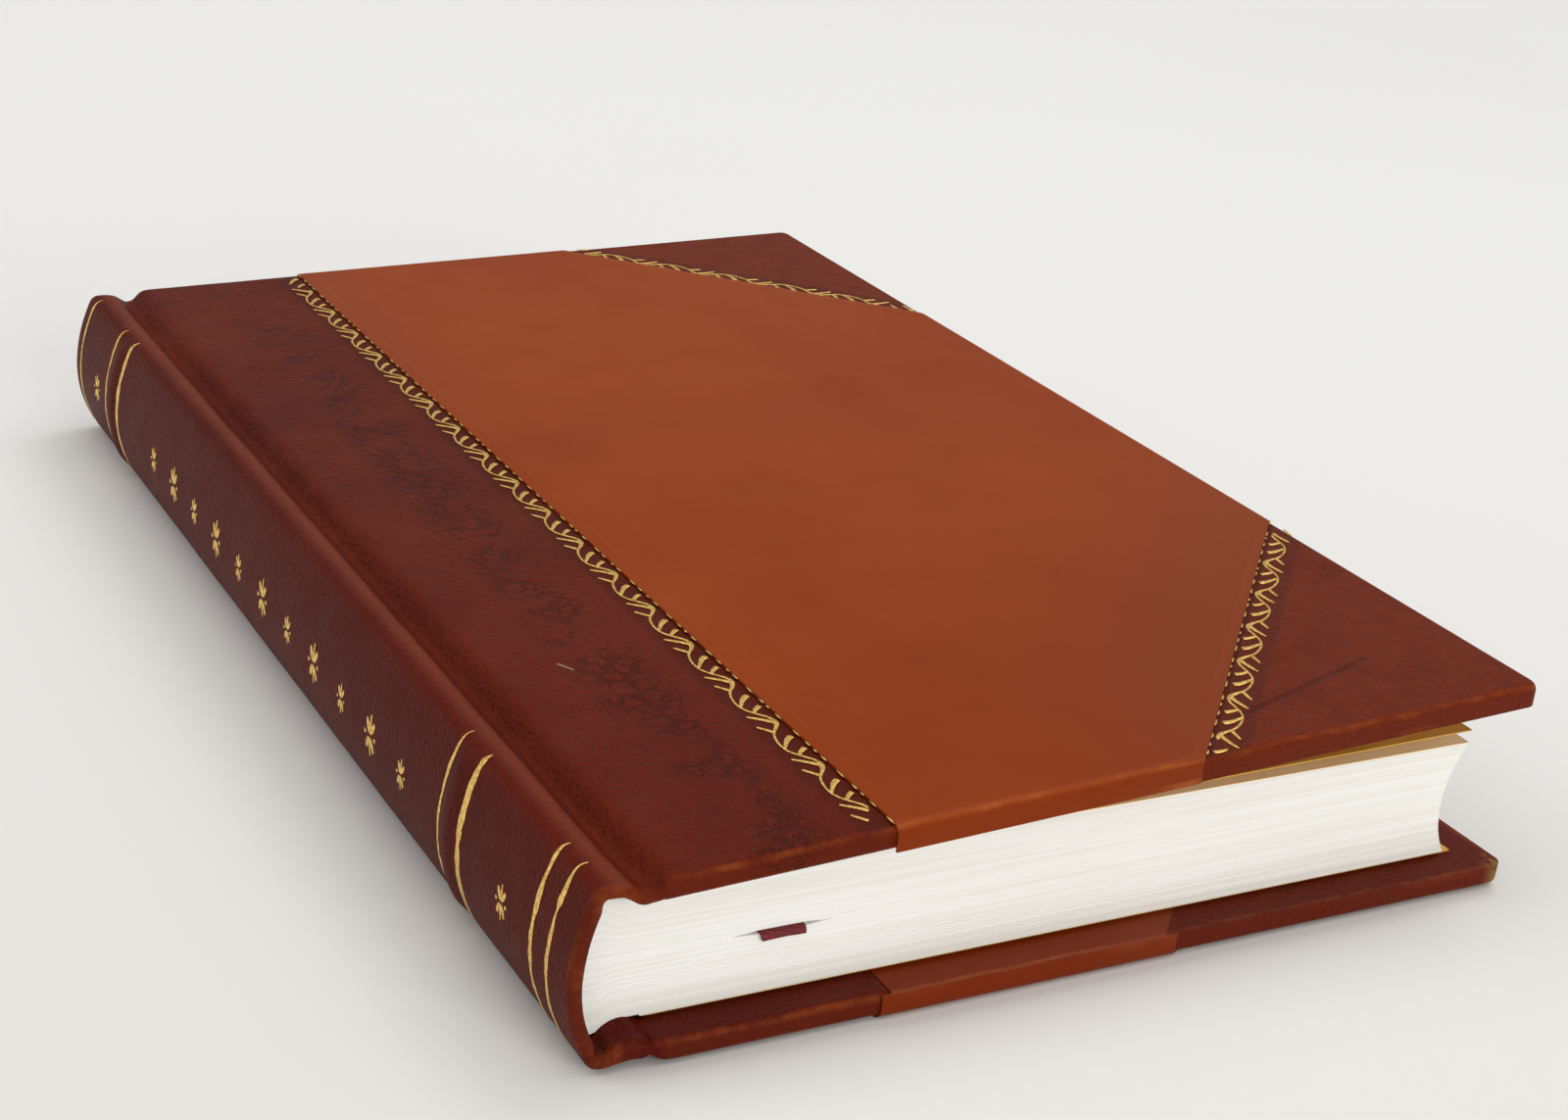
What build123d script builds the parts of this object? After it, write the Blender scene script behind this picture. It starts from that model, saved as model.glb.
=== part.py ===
# A half-leather book with a rounded spine and a French groove, lying on its back cover.
#
# +X runs from the spine to the fore-edge, +Y from the tail to the head, +Z up. The origin
# is under the middle of the book, on the face that it lies on.

import os
from math import cos, hypot, radians, sin

from build123d import *

# ---- driving dimensions, in millimetres and degrees ----
cover_height = 235.0  # over the sides, tail to head
cover_width = 145.5  # over the sides, spine edge to fore-edge
book_thickness = 28.1  # pressed shut, over both sides
spring_angle = 2.8  # how far the front cover stands off the pages
lean = 1.5  # how far the back cover sits forward of the front one

board_thickness = 2.4
board_arris = 0.5  # rounding of a board's long edges
board_corner = 1.5  # rounding of a board's fore corners
leather_thickness = 0.75  # strips and corners
side_step = 0.35  # how far the sides stand proud of the dark leather
side_lap = 1.6  # how far the sides lap over the dark leather
turn_in_thickness = 0.4  # leather pared thin inside the boards
turn_in_width = 14.0
strip_width = 32.6  # dark leather showing on a board, from its spine edge
corner_tail = (64.0, 65.0)  # tail corner's legs: along the tail edge, along the fore-edge
corner_head = (56.0, 61.0)  # head corner's legs: along the head edge, along the fore-edge

pastedown_thickness = 0.25
pastedown_margin = 6.4  # turn-in left showing round a paste-down
leaf_thickness = 0.2
leaf_spring = 0.8  # angle at which the first leaf stands up under the cover
leaf_start = 1.0  # where the leaves leave the joint, from the board's spine edge
tail_square = 5.8  # how far the boards overhang the pages at tail and head
fore_square = 7.0  # and at the fore-edge
fore_hollow = 2.8  # depth of the hollow fore-edge

spine_bulge = 11.9  # spine's furthest point, from the board's spine edge
spine_radius = 33.0
spine_corner = 3.0  # rounding between the spine and its shoulders
shoulder_drop = 0.7  # the shoulders' crests, below the boards' outer faces
shoulder_inner = 4.8  # the shoulders' inner crests, from the board's spine edge
groove_inner = 2.0  # foot of a groove, from the board's spine edge
groove_depth = 3.5  # below the boards' outer faces
groove_rounding = 1.2
joint_gap = 0.35  # between the spine leather and the strip on a board
cap_inset = 1.0  # how far the spine leather stops short of the boards' ends
spine_leather_thickness = 0.9
inlay_thickness = 0.9
inlay_half = 11.0  # half the width of the card inside the spine
lining_thickness = 0.4
cap_turn_in = 12.0  # leather turned in at head and tail

band_rise = 0.6
band_width = 4.6
band_from_tail = 40.5  # middle of the tail band
band_from_head = 27.0  # middle of the head band

ribbon_width = 6.5
ribbon_thickness = 0.5
ribbon_level = 13.7  # middle of the ribbon, above the face that the book lies on
ribbon_tail = 20.6  # middle of the ribbon at the tail, from the board's spine edge
ribbon_head = 4.0  # and at the head
ribbon_parting = 4.0  # how far the leaves stay parted beside the ribbon
ribbon_fit = 0.05  # clearance all round it

running_gap = 0.3  # between a cover and the leaves it closes on
hinge_inset = 3.0  # hinge line, spineward of the board's spine edge
hinge_drop = 0.3  # hinge line, below the board's outer face
margin = 2.0  # how far cutting shapes run past what they cut

# ---- worked out from them ----
skin_inside = pastedown_thickness + turn_in_thickness  # inner face of a board, in its cover
skin_outside = leather_thickness + side_step
cover_thickness = skin_inside + board_thickness + skin_outside
mid_height = book_thickness / 2
spine_edge = (spine_bulge + band_rise - lean - cover_width) / 2  # X of the front board's spine edge
pages_tail = tail_square - cover_height / 2
pages_length = cover_height - 2 * tail_square
pages_fore = spine_edge + cover_width - fore_square
pages_low = cover_thickness + running_gap + leaf_thickness
pages_high = book_thickness - cover_thickness - running_gap - 2 * leaf_thickness
inlay_inset = spine_leather_thickness
lining_inset = inlay_inset + inlay_thickness
pages_inset = lining_inset + lining_thickness
spine_start = cap_inset - cover_height / 2
spine_length = cover_height - 2 * cap_inset
hinge_x = spine_edge - hinge_inset
hinge_z = book_thickness - hinge_drop


# ---- frames ----
def section(y):
    """The upright plane across the book at y."""
    return Plane.XZ.offset(-y)


def front_frame(angle):
    """The front cover's own frame when it is open by angle: spine edge, mid height, inner face."""
    turn = radians(angle)
    out = spine_edge - hinge_x
    up = book_thickness - cover_thickness - hinge_z
    origin = (hinge_x + out * cos(turn) - up * sin(turn), 0, hinge_z + out * sin(turn) + up * cos(turn))
    return Plane(origin=origin, x_dir=(cos(turn), 0, sin(turn)), z_dir=(-sin(turn), 0, cos(turn)))


def back_frame():
    """The back cover's own frame: its outside faces down, so its y axis runs head to tail."""
    return Plane(origin=(spine_edge + lean, 0, cover_thickness), x_dir=(1, 0, 0), z_dir=(0, 0, -1))


# ---- spine ----
def spine_core(start, length, inset, mode=Mode.ADD):
    """Adds the space inside the spine leather's outer skin, drawn in by inset all round."""
    half = mid_height - shoulder_drop
    groove = mid_height - groove_depth
    crest = spine_edge - shoulder_inner
    corner = spine_edge - spine_bulge + spine_radius - (spine_radius**2 - half**2) ** 0.5
    far = spine_edge + 2 * margin + inset
    with BuildSketch(section(start)) as core:
        with BuildLine():
            for side in (1, -1):
                Polyline(
                    (far, mid_height),
                    (far, mid_height + side * groove),
                    (spine_edge - groove_inner, mid_height + side * groove),
                    (crest, mid_height + side * half),
                    (corner, mid_height + side * half),
                )
            ThreePointArc(
                (corner, mid_height + half),
                (spine_edge - spine_bulge, mid_height),
                (corner, mid_height - half),
            )
        make_face()
        bends = core.vertices().filter_by_position(Axis.X, crest, spine_edge)
        fillet(bends, groove_rounding)
        fillet(core.vertices().filter_by_position(Axis.X, corner - 0.1, corner + 0.1), spine_corner)
        if inset:
            offset(amount=-inset)
    extrude(core.sketch, amount=-length, mode=mode)


def spine_layer(start, length, outer, inner, half_width):
    """A layer of the rounded spine between two insets, half_width either side of the middle."""
    with BuildPart() as layer:
        spine_core(start, length, outer)
        spine_core(start, length, inner, Mode.SUBTRACT)
        with BuildSketch(section(start)):
            with Locations((spine_edge - spine_bulge, mid_height)):
                Rectangle(2 * (spine_bulge - shoulder_inner - margin), 2 * half_width)
        extrude(amount=-length, mode=Mode.INTERSECT)
    return layer


spine_lining = spine_layer(
    pages_tail + cap_turn_in, pages_length - 2 * cap_turn_in, lining_inset, pages_inset, inlay_half
)
spine_inlay = spine_layer(
    spine_start + spine_leather_thickness,
    spine_length - 2 * spine_leather_thickness,
    inlay_inset,
    lining_inset,
    inlay_half,
)

band_lows = {
    "tail": band_from_tail - (cover_height + band_width) / 2,
    "head": (cover_height - band_width) / 2 - band_from_head,
}
raised_bands = {}
band_covers = []
for place, low in band_lows.items():
    raised_bands[place] = spine_layer(low, band_width, inlay_inset - band_rise, inlay_inset, inlay_half)
    band_covers.append(
        spine_layer(
            low - spine_leather_thickness,
            band_width + 2 * spine_leather_thickness,
            -band_rise,
            inlay_inset - band_rise,
            inlay_half + spine_leather_thickness,
        )
    )

# leather folded over the card at each end of the spine, then turned in behind it
turned_in = cap_turn_in + tail_square - cap_inset
caps = [
    spine_layer(spine_start, spine_leather_thickness, inlay_inset, pages_inset, inlay_half),
    spine_layer(spine_start, turned_in, lining_inset, pages_inset, inlay_half),
    spine_layer(
        spine_start + spine_length - spine_leather_thickness,
        spine_leather_thickness,
        inlay_inset,
        pages_inset,
        inlay_half,
    ),
    spine_layer(spine_start + spine_length - turned_in, turned_in, lining_inset, pages_inset, inlay_half),
]

with BuildPart() as spine_leather:
    spine_core(spine_start, spine_length, 0)
    spine_core(spine_start, spine_length, spine_leather_thickness, Mode.SUBTRACT)
    split(bisect_by=Plane.YZ.offset(spine_edge - joint_gap), keep=Keep.BOTTOM)
    for cap in caps:
        add(cap.part)
    for cover in band_covers:
        add(cover.part)
    for band in raised_bands.values():
        add(band.part, mode=Mode.SUBTRACT)

# ---- pages, ribbon and leaves ----
ribbon_run = Vector(ribbon_head - ribbon_tail, pages_length, 0)
ribbon_start = (spine_edge + ribbon_tail, ribbon_level)

with BuildPart() as text_block:
    spine_core(pages_tail, pages_length, pages_inset)
    with BuildSketch(section(pages_tail)):
        with BuildLine():
            neck = spine_edge - shoulder_inner
            Polyline(
                (pages_fore, pages_high),
                (neck, pages_high),
                (neck, pages_low),
                (pages_fore, pages_low),
            )
            ThreePointArc(
                (pages_fore, pages_low),
                (pages_fore - fore_hollow, (pages_high + pages_low) / 2),
                (pages_fore, pages_high),
            )
        make_face()
    extrude(amount=-pages_length)
    with BuildSketch(section(pages_tail)):  # the leaves part round the ribbon
        half = ribbon_width / 2 + ribbon_fit
        rise = ribbon_thickness / 2 + ribbon_fit
        with Locations(ribbon_start):
            Polygon(
                (-half - ribbon_parting, 0),
                (-half, -rise),
                (half, -rise),
                (half + ribbon_parting, 0),
                (half, rise),
                (-half, rise),
                align=None,
            )
    extrude(amount=ribbon_run.length, dir=ribbon_run.normalized(), mode=Mode.SUBTRACT)

with BuildPart() as ribbon_marker:
    with BuildSketch(section(pages_tail)):
        with Locations(ribbon_start):
            Rectangle(ribbon_width, ribbon_thickness)
    extrude(amount=ribbon_run.length, dir=ribbon_run.normalized())


def leaf(level, angle):
    """One leaf of stiff paper, turned up by angle about its fold at the given level."""
    turn = radians(angle)
    fold = (spine_edge + leaf_start, 0, level)
    frame = Plane(origin=fold, x_dir=(cos(turn), 0, sin(turn)), z_dir=(-sin(turn), 0, cos(turn)))
    width = pages_fore - spine_edge - leaf_start
    with BuildPart() as sheet:
        with BuildSketch(frame):
            with Locations((width / 2, 0)):
                Rectangle(width, pages_length)
        extrude(amount=leaf_thickness)
    return sheet


front_second_leaf = leaf(pages_high, 0)
front_flyleaf = leaf(pages_high + leaf_thickness, leaf_spring)
back_flyleaf = leaf(pages_low - leaf_thickness, 0)


# ---- covers ----
def slab(frame, spine_inset, edge_inset, low, high):
    """A cover's outline drawn in at the spine and at its other edges, rounded outside."""
    rounding = skin_outside - edge_inset
    with BuildPart() as body:
        with BuildSketch(frame.offset(low)) as outline:
            with Locations(((spine_inset + cover_width - edge_inset) / 2, 0)):
                Rectangle(cover_width - edge_inset - spine_inset, cover_height - 2 * edge_inset)
            fillet(outline.vertices().sort_by(Axis.X)[-2:], board_corner + rounding)
        extrude(amount=high - low)
        outside = body.faces().sort_by(Axis(frame.origin, frame.z_dir))[-1]
        fillet(outside.edges(), board_arris + rounding)
    return body


def cut_back(legs, distance):
    """A corner piece's two legs, with its long edge moved out by distance."""
    scale = 1 + distance * hypot(1 / legs[0], 1 / legs[1])
    return (legs[0] * scale, legs[1] * scale)


def side_area(frame, corners, lap):
    """An upright prism over a side: past the strip and between the corners, drawn in by lap."""
    half = cover_height / 2
    low = cut_back(corners[0], lap)
    high = cut_back(corners[1], lap)
    near = strip_width + lap
    over_low = margin * low[0] / low[1]
    over_high = margin * high[0] / high[1]
    with BuildPart() as prism:
        with BuildSketch(frame.offset(-margin)):
            Polygon(
                (near, -half - margin),
                (cover_width - low[0] - over_low, -half - margin),
                (cover_width + margin, -half + low[1] + margin * low[1] / low[0]),
                (cover_width + margin, half - high[1] - margin * high[1] / high[0]),
                (cover_width - high[0] - over_high, half + margin),
                (near, half + margin),
                align=None,
            )
        extrude(amount=cover_thickness + 2 * margin)
    return prism


def box_in(frame, x_range, y_range, z_range, mode):
    """A box given by its limits in a cover's own frame."""
    with BuildSketch(frame.offset(z_range[0])) as plan:
        with Locations(((x_range[0] + x_range[1]) / 2, (y_range[0] + y_range[1]) / 2)):
            Rectangle(x_range[1] - x_range[0], y_range[1] - y_range[0])
    extrude(plan.sketch, amount=z_range[1] - z_range[0], mode=mode)


def cover_pieces(name, frame, corners, ends):
    """The six pieces of a cover. corners and ends go from its low y end to its high one."""
    half = cover_height / 2
    board = slab(frame, leather_thickness, skin_outside, skin_inside, skin_inside + board_thickness)
    dark = slab(frame, 0, side_step, pastedown_thickness, cover_thickness - side_step)
    tan = slab(frame, 0, 0, pastedown_thickness, cover_thickness)
    showing = side_area(frame, corners, 0)
    seated = side_area(frame, corners, side_lap)
    inner_x = (leather_thickness, cover_width - turn_in_width)
    inner_y = (turn_in_width - half, half - turn_in_width)
    deep = (-margin, skin_inside)
    past = (-margin, cover_thickness + margin)
    pieces = {f"{name}_board": board}

    with BuildPart() as strip:
        add(dark.part)
        add(board.part, mode=Mode.SUBTRACT)
        box_in(frame, inner_x, inner_y, deep, Mode.SUBTRACT)
        box_in(frame, (-margin, strip_width + side_lap), (-half, half), past, Mode.INTERSECT)
    pieces[f"{name}_spine_strip"] = strip

    with BuildPart() as side:
        add(tan.part)
        add(dark.part, mode=Mode.SUBTRACT)
        add(showing.part, mode=Mode.INTERSECT)
        lap_over = side.part
    with BuildPart() as side:
        add(tan.part)
        add(board.part, mode=Mode.SUBTRACT)
        box_in(frame, inner_x, inner_y, deep, Mode.SUBTRACT)
        add(seated.part, mode=Mode.INTERSECT)
        add(lap_over)
    pieces[f"{name}_side"] = side

    for end, reach in zip(ends, ((-half, 0), (0, half))):
        with BuildPart() as corner:
            add(dark.part)
            add(board.part, mode=Mode.SUBTRACT)
            add(seated.part, mode=Mode.SUBTRACT)
            box_in(frame, inner_x, inner_y, deep, Mode.SUBTRACT)
            box_in(frame, (strip_width + 2 * side_lap, cover_width), reach, past, Mode.INTERSECT)
        pieces[f"{name}_corner_{end}"] = corner

    with BuildPart() as pastedown:
        edge = cover_width - pastedown_margin
        box_in(
            frame,
            (leather_thickness, edge),
            (pastedown_margin - half, half - pastedown_margin),
            (0, pastedown_thickness),
            Mode.ADD,
        )
        box_in(frame, inner_x, inner_y, (pastedown_thickness, skin_inside), Mode.ADD)
    pieces[f"{name}_pastedown"] = pastedown
    return pieces


front = cover_pieces("front", front_frame(spring_angle), (corner_tail, corner_head), ("tail", "head"))
back = cover_pieces("back", back_frame(), (corner_head, corner_tail), ("head", "tail"))

# ---- one STEP file for each piece ----
book = {
    "text_block": text_block,
    "ribbon_marker": ribbon_marker,
    "front_flyleaf": front_flyleaf,
    "front_second_leaf": front_second_leaf,
    "back_flyleaf": back_flyleaf,
    "spine_lining": spine_lining,
    "spine_inlay": spine_inlay,
    "raised_band_tail": raised_bands["tail"],
    "raised_band_head": raised_bands["head"],
    "spine_leather": spine_leather,
    **front,
    **back,
}
os.makedirs("parts", exist_ok=True)
for name, piece in book.items():
    piece.part.label = name
    export_step(piece.part, f"parts/{name}.step")
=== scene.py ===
from math import cos, pi, radians, sin

import bmesh
import bpy
import numpy as np
from mathutils import Matrix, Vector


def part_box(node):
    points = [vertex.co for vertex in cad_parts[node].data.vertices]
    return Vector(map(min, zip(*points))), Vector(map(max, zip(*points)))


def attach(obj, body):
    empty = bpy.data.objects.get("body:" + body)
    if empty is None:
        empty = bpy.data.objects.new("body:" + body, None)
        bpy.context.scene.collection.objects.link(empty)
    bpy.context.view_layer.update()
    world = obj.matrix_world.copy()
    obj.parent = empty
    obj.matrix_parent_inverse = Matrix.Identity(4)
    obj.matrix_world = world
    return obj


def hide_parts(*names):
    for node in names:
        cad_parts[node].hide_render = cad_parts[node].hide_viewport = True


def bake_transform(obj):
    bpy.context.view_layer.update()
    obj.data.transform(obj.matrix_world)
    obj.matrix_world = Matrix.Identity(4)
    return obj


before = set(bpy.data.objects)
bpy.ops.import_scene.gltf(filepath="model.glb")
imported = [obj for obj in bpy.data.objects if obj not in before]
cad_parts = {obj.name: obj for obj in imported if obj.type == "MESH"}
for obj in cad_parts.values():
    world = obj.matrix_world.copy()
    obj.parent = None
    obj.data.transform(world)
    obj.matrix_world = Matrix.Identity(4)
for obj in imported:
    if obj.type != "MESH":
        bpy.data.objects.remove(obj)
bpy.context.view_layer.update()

mm = 0.001  # lengths below are in millimetres, meshes in metres
chance = np.random.default_rng(11)


def boxOf(node):
    # lowest and highest corners of a node, in millimetres
    return [np.array(corner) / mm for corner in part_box(node)]


# shader building
def paint(red, green, blue):
    # display values 0-255 to a linear colour: ((v + 0.055) / 1.055) ^ 2.4, or v / 12.92 when dark
    shown = np.array([red, green, blue]) / 255
    return (*np.where(shown > 0.04045, ((shown + 0.055) / 1.055) ** 2.4, shown / 12.92), 1.0)


class Value:
    # a socket that + - * / join to numbers and other sockets with Math nodes
    def __init__(self, finish, socket):
        self.finish = finish
        self.socket = socket

    def math(self, operation, first, second=None):
        inputs = {0: first} if second is None else {0: first, 1: second}
        return self.finish.node("Math", {"operation": operation}, inputs)

    def __add__(self, other):
        return self.math("ADD", self, other)

    def __sub__(self, other):
        return self.math("SUBTRACT", self, other)

    def __rsub__(self, other):
        return self.math("SUBTRACT", other, self)

    def __mul__(self, other):
        return self.math("MULTIPLY", self, other)

    def __abs__(self):
        return self.math("ABSOLUTE", self)

    __radd__ = __add__
    __rmul__ = __mul__

    def sine(self):
        return self.math("SINE", self)

    def atLeast(self, other):
        return self.math("MAXIMUM", self, other)

    def atMost(self, other):
        return self.math("MINIMUM", self, other)

    def smooth(self, low, high):
        # 0 at low, 1 at high, smooth between
        return self.finish.node(
            "MapRange",
            {"interpolation_type": "SMOOTHSTEP"},
            {"Value": self, "From Min": low, "From Max": high},
        )

    def band(self, middle, half, soft):
        # 1 within half of middle, falling to 0 over soft
        return abs(self - middle).smooth(half + soft, half)


class Finish:
    # one material: node() adds any node, the rest are short names for common ones
    def __init__(self, name, world=False):
        holder = bpy.data.worlds.new(name) if world else bpy.data.materials.new(name)
        holder.use_nodes = True
        self.holder = holder
        self.tree = holder.node_tree
        self.tree.nodes.clear()

    def node(self, kind, settings=None, inputs=None, output=0):
        made = self.tree.nodes.new("ShaderNode" + kind)
        for key, setting in (settings or {}).items():
            setattr(made, key, setting)
        for key, given in (inputs or {}).items():
            if isinstance(given, Value):
                self.tree.links.new(given.socket, made.inputs[key])
            else:
                made.inputs[key].default_value = given
        return Value(self, made.outputs[output]) if made.outputs else None

    def place(self, source, stretch=(1, 1, 1), turn=(0, 0, 0)):
        return self.node("Mapping", {}, {"Vector": source, "Scale": stretch, "Rotation": turn})

    def millimetres(self):
        return self.place(self.node("TexCoord", output="Object"), (1 / mm,) * 3)

    def split(self, vector):
        made = self.node("SeparateXYZ", {}, {0: vector})
        return [Value(self, made.socket.node.outputs[axis]) for axis in range(3)]

    def noise(self, vector, size, detail=2.0, rough=0.5, warp=0.0):
        inputs = {"Vector": vector, "Scale": 1 / size, "Detail": detail, "Roughness": rough}
        return self.node("TexNoise", {}, inputs | {"Distortion": warp})

    def cells(self, vector, size, feature="F1"):
        inputs = {"Vector": vector, "Scale": 1 / size}
        return self.node("TexVoronoi", {"feature": feature}, inputs)

    def mix(self, factor, first, second):
        return self.node("Mix", {"data_type": "RGBA"}, {0: factor, 6: first, 7: second}, 2)

    def warp(self, vector, size, amount):
        # the vector moved by 0 to amount along each axis, with a noise of that size
        moved = self.node("TexNoise", {}, {"Vector": vector, "Scale": 1 / size, "Detail": 2.0}, 1)
        scaled = self.node("VectorMath", {"operation": "SCALE"}, {0: moved, "Scale": amount})
        return self.node("VectorMath", {"operation": "ADD"}, {0: vector, 1: scaled})

    def stroke(self, x, y, start, end, half):
        # 1 on the line from start to end, fading to 0 at the half width
        dx, dy = end[0] - start[0], end[1] - start[1]
        run = ((x - start[0]) * dx + (y - start[1]) * dy) * (1 / (dx * dx + dy * dy))
        run = run.atLeast(0.0).atMost(1.0)
        offX, offY = x - start[0] - run * dx, y - start[1] - run * dy
        return (offX * offX + offY * offY).smooth(half * half, 0.0)

    def bump(self, height, depth):
        # depth is in millimetres for a height that goes from 0 to 1
        return self.node("Bump", {}, {"Height": height, "Distance": depth * mm, "Strength": 1.0})

    def surface(self, **sockets):
        inputs = {key.replace("_", " "): given for key, given in sockets.items()}
        shader = self.node("BsdfPrincipled", {}, inputs)
        self.node("OutputMaterial", {}, {"Surface": shader})
        return self.holder


# mesh building
def gridFaces(rows, columns, start=0):
    # quads between neighbouring rows and columns of a grid that is stored row by row
    r, c = np.meshgrid(np.arange(rows - 1), np.arange(columns - 1), indexing="ij")
    first = (r * columns + c).ravel() + start
    return np.stack([first, first + 1, first + columns + 1, first + columns], 1)


def addObject(name, data):
    # at the origin, unturned and unscaled
    thing = bpy.data.objects.new(name, data)
    bpy.context.scene.collection.objects.link(thing)
    return thing


def turnOutwards(mesh, weld=0.0):
    # points closer than weld millimetres are merged, then every face is turned outwards
    work = bmesh.new()
    work.from_mesh(mesh)
    if weld:
        bmesh.ops.remove_doubles(work, verts=work.verts, dist=weld * mm)
    bmesh.ops.recalc_face_normals(work, faces=work.faces)
    work.to_mesh(mesh)
    work.free()


def makePiece(name, points, faces, finish, sharpAngle=40.0, uv=None, weld=0.0):
    # points in millimetres; uv is one pair for each point
    mesh = bpy.data.meshes.new(name)
    mesh.from_pydata((np.asarray(points, float).reshape(-1, 3) * mm).tolist(), [], faces.tolist())
    if uv is not None:
        corner = np.zeros(len(mesh.loops), int)
        mesh.loops.foreach_get("vertex_index", corner)
        layer = mesh.uv_layers.new(name="leaves")
        layer.data.foreach_set("uv", np.asarray(uv, float)[corner].ravel())
    turnOutwards(mesh, weld)
    mesh.polygons.foreach_set("use_smooth", np.ones(len(mesh.polygons), bool))
    mesh.set_sharp_from_angle(angle=radians(sharpAngle))
    mesh.materials.append(finish)
    return addObject(name, mesh)


def gridNormals(grid):
    # unit normals of a surface grid: difference along columns crossed with difference along rows
    cross = np.cross(np.gradient(grid, axis=1), np.gradient(grid, axis=0))
    return cross / np.linalg.norm(cross, axis=2, keepdims=True)


def closedSheet(outer, inner):
    # two facing grids joined all round their rims: points and quads of one closed sheet
    rows, columns = outer.shape[:2]
    ids = np.arange(rows * columns).reshape(rows, columns)
    rim = np.concatenate([ids[0, :-1], ids[:-1, -1], ids[-1, :0:-1], ids[:0:-1, 0]])
    after = np.roll(rim, -1)
    count = rows * columns
    faces = [
        gridFaces(rows, columns),
        gridFaces(rows, columns, count)[:, ::-1],
        np.stack([after, rim, rim + count, after + count], 1),
    ]
    return np.concatenate([outer.reshape(-1, 3), inner.reshape(-1, 3)]), np.concatenate(faces)


def lengthAlong(line):
    # distance along a line of points from its first one: the running sum of its steps
    return np.concatenate([[0], np.cumsum(np.linalg.norm(np.diff(line, axis=0), axis=1))])


def blendRange(value, low, high):
    # smooth step: t * t * (3 - 2 t) with t = (value - low) / (high - low) held to 0-1
    t = np.clip((value - low) / (high - low), 0, 1)
    return t * t * (3 - 2 * t)


# where things are
spineLow, spineHigh = boxOf("spine_leather")
pagesLow, pagesHigh = boxOf("text_block")
sideHigh = boxOf("back_side")[1]
book = {
    "middle": (spineLow[2] + spineHigh[2]) / 2,
    "halfLength": sideHigh[1],  # tail to head, halved
    "coverWidth": 145.5,
    "darkHeight": 3.8,  # dark leather's face above a paste-down's
    "spineEdge": -67.25,  # of the covers, from the middle of the book
    "strip": 32.6,  # dark leather on a cover, from its spine edge
    "tailCorner": (64.0, 65.0),  # legs along the tail and fore edges
    "headCorner": (56.0, 61.0),
}
openAngle = radians(2.8)
covers = {
    "front": {"origin": (-67.066, 24.101), "out": (-sin(openAngle), cos(openAngle)), "side": 1},
    "back": {"origin": (sideHigh[0] - book["coverWidth"], 4.15), "out": (0.0, -1.0), "side": -1},
}
for entry in covers.values():
    entry["across"] = (abs(entry["out"][1]), -entry["out"][0])


def coverPoint(cover, across, along, height):
    # origin + across * the cover's direction to the fore-edge + height * its outward direction
    origin, run, out = covers[cover]["origin"], covers[cover]["across"], covers[cover]["out"]
    across, along, height = np.broadcast_arrays(across, along, height)
    x = origin[0] + across * run[0] + height * out[0]
    z = origin[1] + across * run[1] + height * out[1]
    return np.stack([x, along, z], -1)


# camera
view = {
    "place": (-0.19818, -0.34616, 0.18178),  # metres
    "yaw": -31.711,  # this and the next two in degrees
    "pitch": 22.714,
    "roll": 7.171,
    "lens": 57.196,
    "sensor": 36.0,
}
cameraData = bpy.data.cameras.new("camera")
cameraData.lens = view["lens"]
cameraData.sensor_width = view["sensor"]
camera = addObject("camera", cameraData)
camera.matrix_world = (
    Matrix.Translation(view["place"])
    @ Matrix.Rotation(radians(view["yaw"]), 4, "Z")
    @ Matrix.Rotation(radians(90 - view["pitch"]), 4, "X")
    @ Matrix.Rotation(radians(view["roll"]), 4, "Z")
)
bpy.context.scene.camera = camera
bpy.context.scene.view_settings.view_transform = "Standard"
print("camera set")

# floor and light
studio = {
    "floorSize": 6.0,
    "floorHeight": -0.02,  # millimetres, just under the book
    "floorColour": paint(234, 233, 229),
    "worldColour": (1.0, 0.995, 0.99, 1.0),
    "horizon": 0.8,  # strength of the surrounding light: all round, above that, overhead
    "dim": 0.2,
    "overhead": 1.0,
    "lamps": [  # place, width, share of full light on a surface facing it, colour
        ((1.1, 0.55, 2.2), 1.1, 0.12, (1.0, 0.995, 0.985)),
        ((-1.8, 0.5, 1.5), 1.4, 0.16, (1.0, 0.995, 0.985)),
        ((0.25, -2.7, 1.05), 1.5, 0.36, (1.0, 0.995, 0.99)),
    ],
}


def floorFinish():
    # pale paper with painted light, a little lighter to the right and back, with broad faint clouds
    finish = Finish("floorPaper")
    point = finish.millimetres()
    x, y, _ = finish.split(point)
    # painted light: the floor grows lighter to the right and back
    tone = finish.mix((x + y).smooth(-500, 500), paint(229, 227, 223), paint(242, 242, 240))
    speck = finish.noise(point, 260, 3) * 0.5
    colour = finish.mix(speck, tone, studio["floorColour"])
    return finish.surface(Base_Color=colour, Roughness=0.75, Specular_IOR_Level=0.2)


half = studio["floorSize"] / 2 / mm
corners = np.array([(-1, -1, 0), (1, -1, 0), (1, 1, 0), (-1, 1, 0)]) * half + (0, 0, studio["floorHeight"])
floor = makePiece("floor", corners, np.array([[0, 1, 2, 3]]), floorFinish())

# pale at the horizon, dimmer above it, a broad soft light overhead: rise is the sine of the height
sky = Finish("studioWorld", world=True)
rise = sky.split(sky.node("TexCoord", output="Generated"))[2]
glow = studio["dim"] + rise.smooth(0.3, 0.16) * (studio["horizon"] - studio["dim"])
glow = glow + rise.smooth(0.45, 0.85) * (studio["overhead"] - studio["dim"])
light = sky.node("Background", {}, {"Color": studio["worldColour"], "Strength": glow})
sky.node("OutputWorld", {}, {"Surface": light})
bpy.context.scene.world = sky.holder

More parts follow.
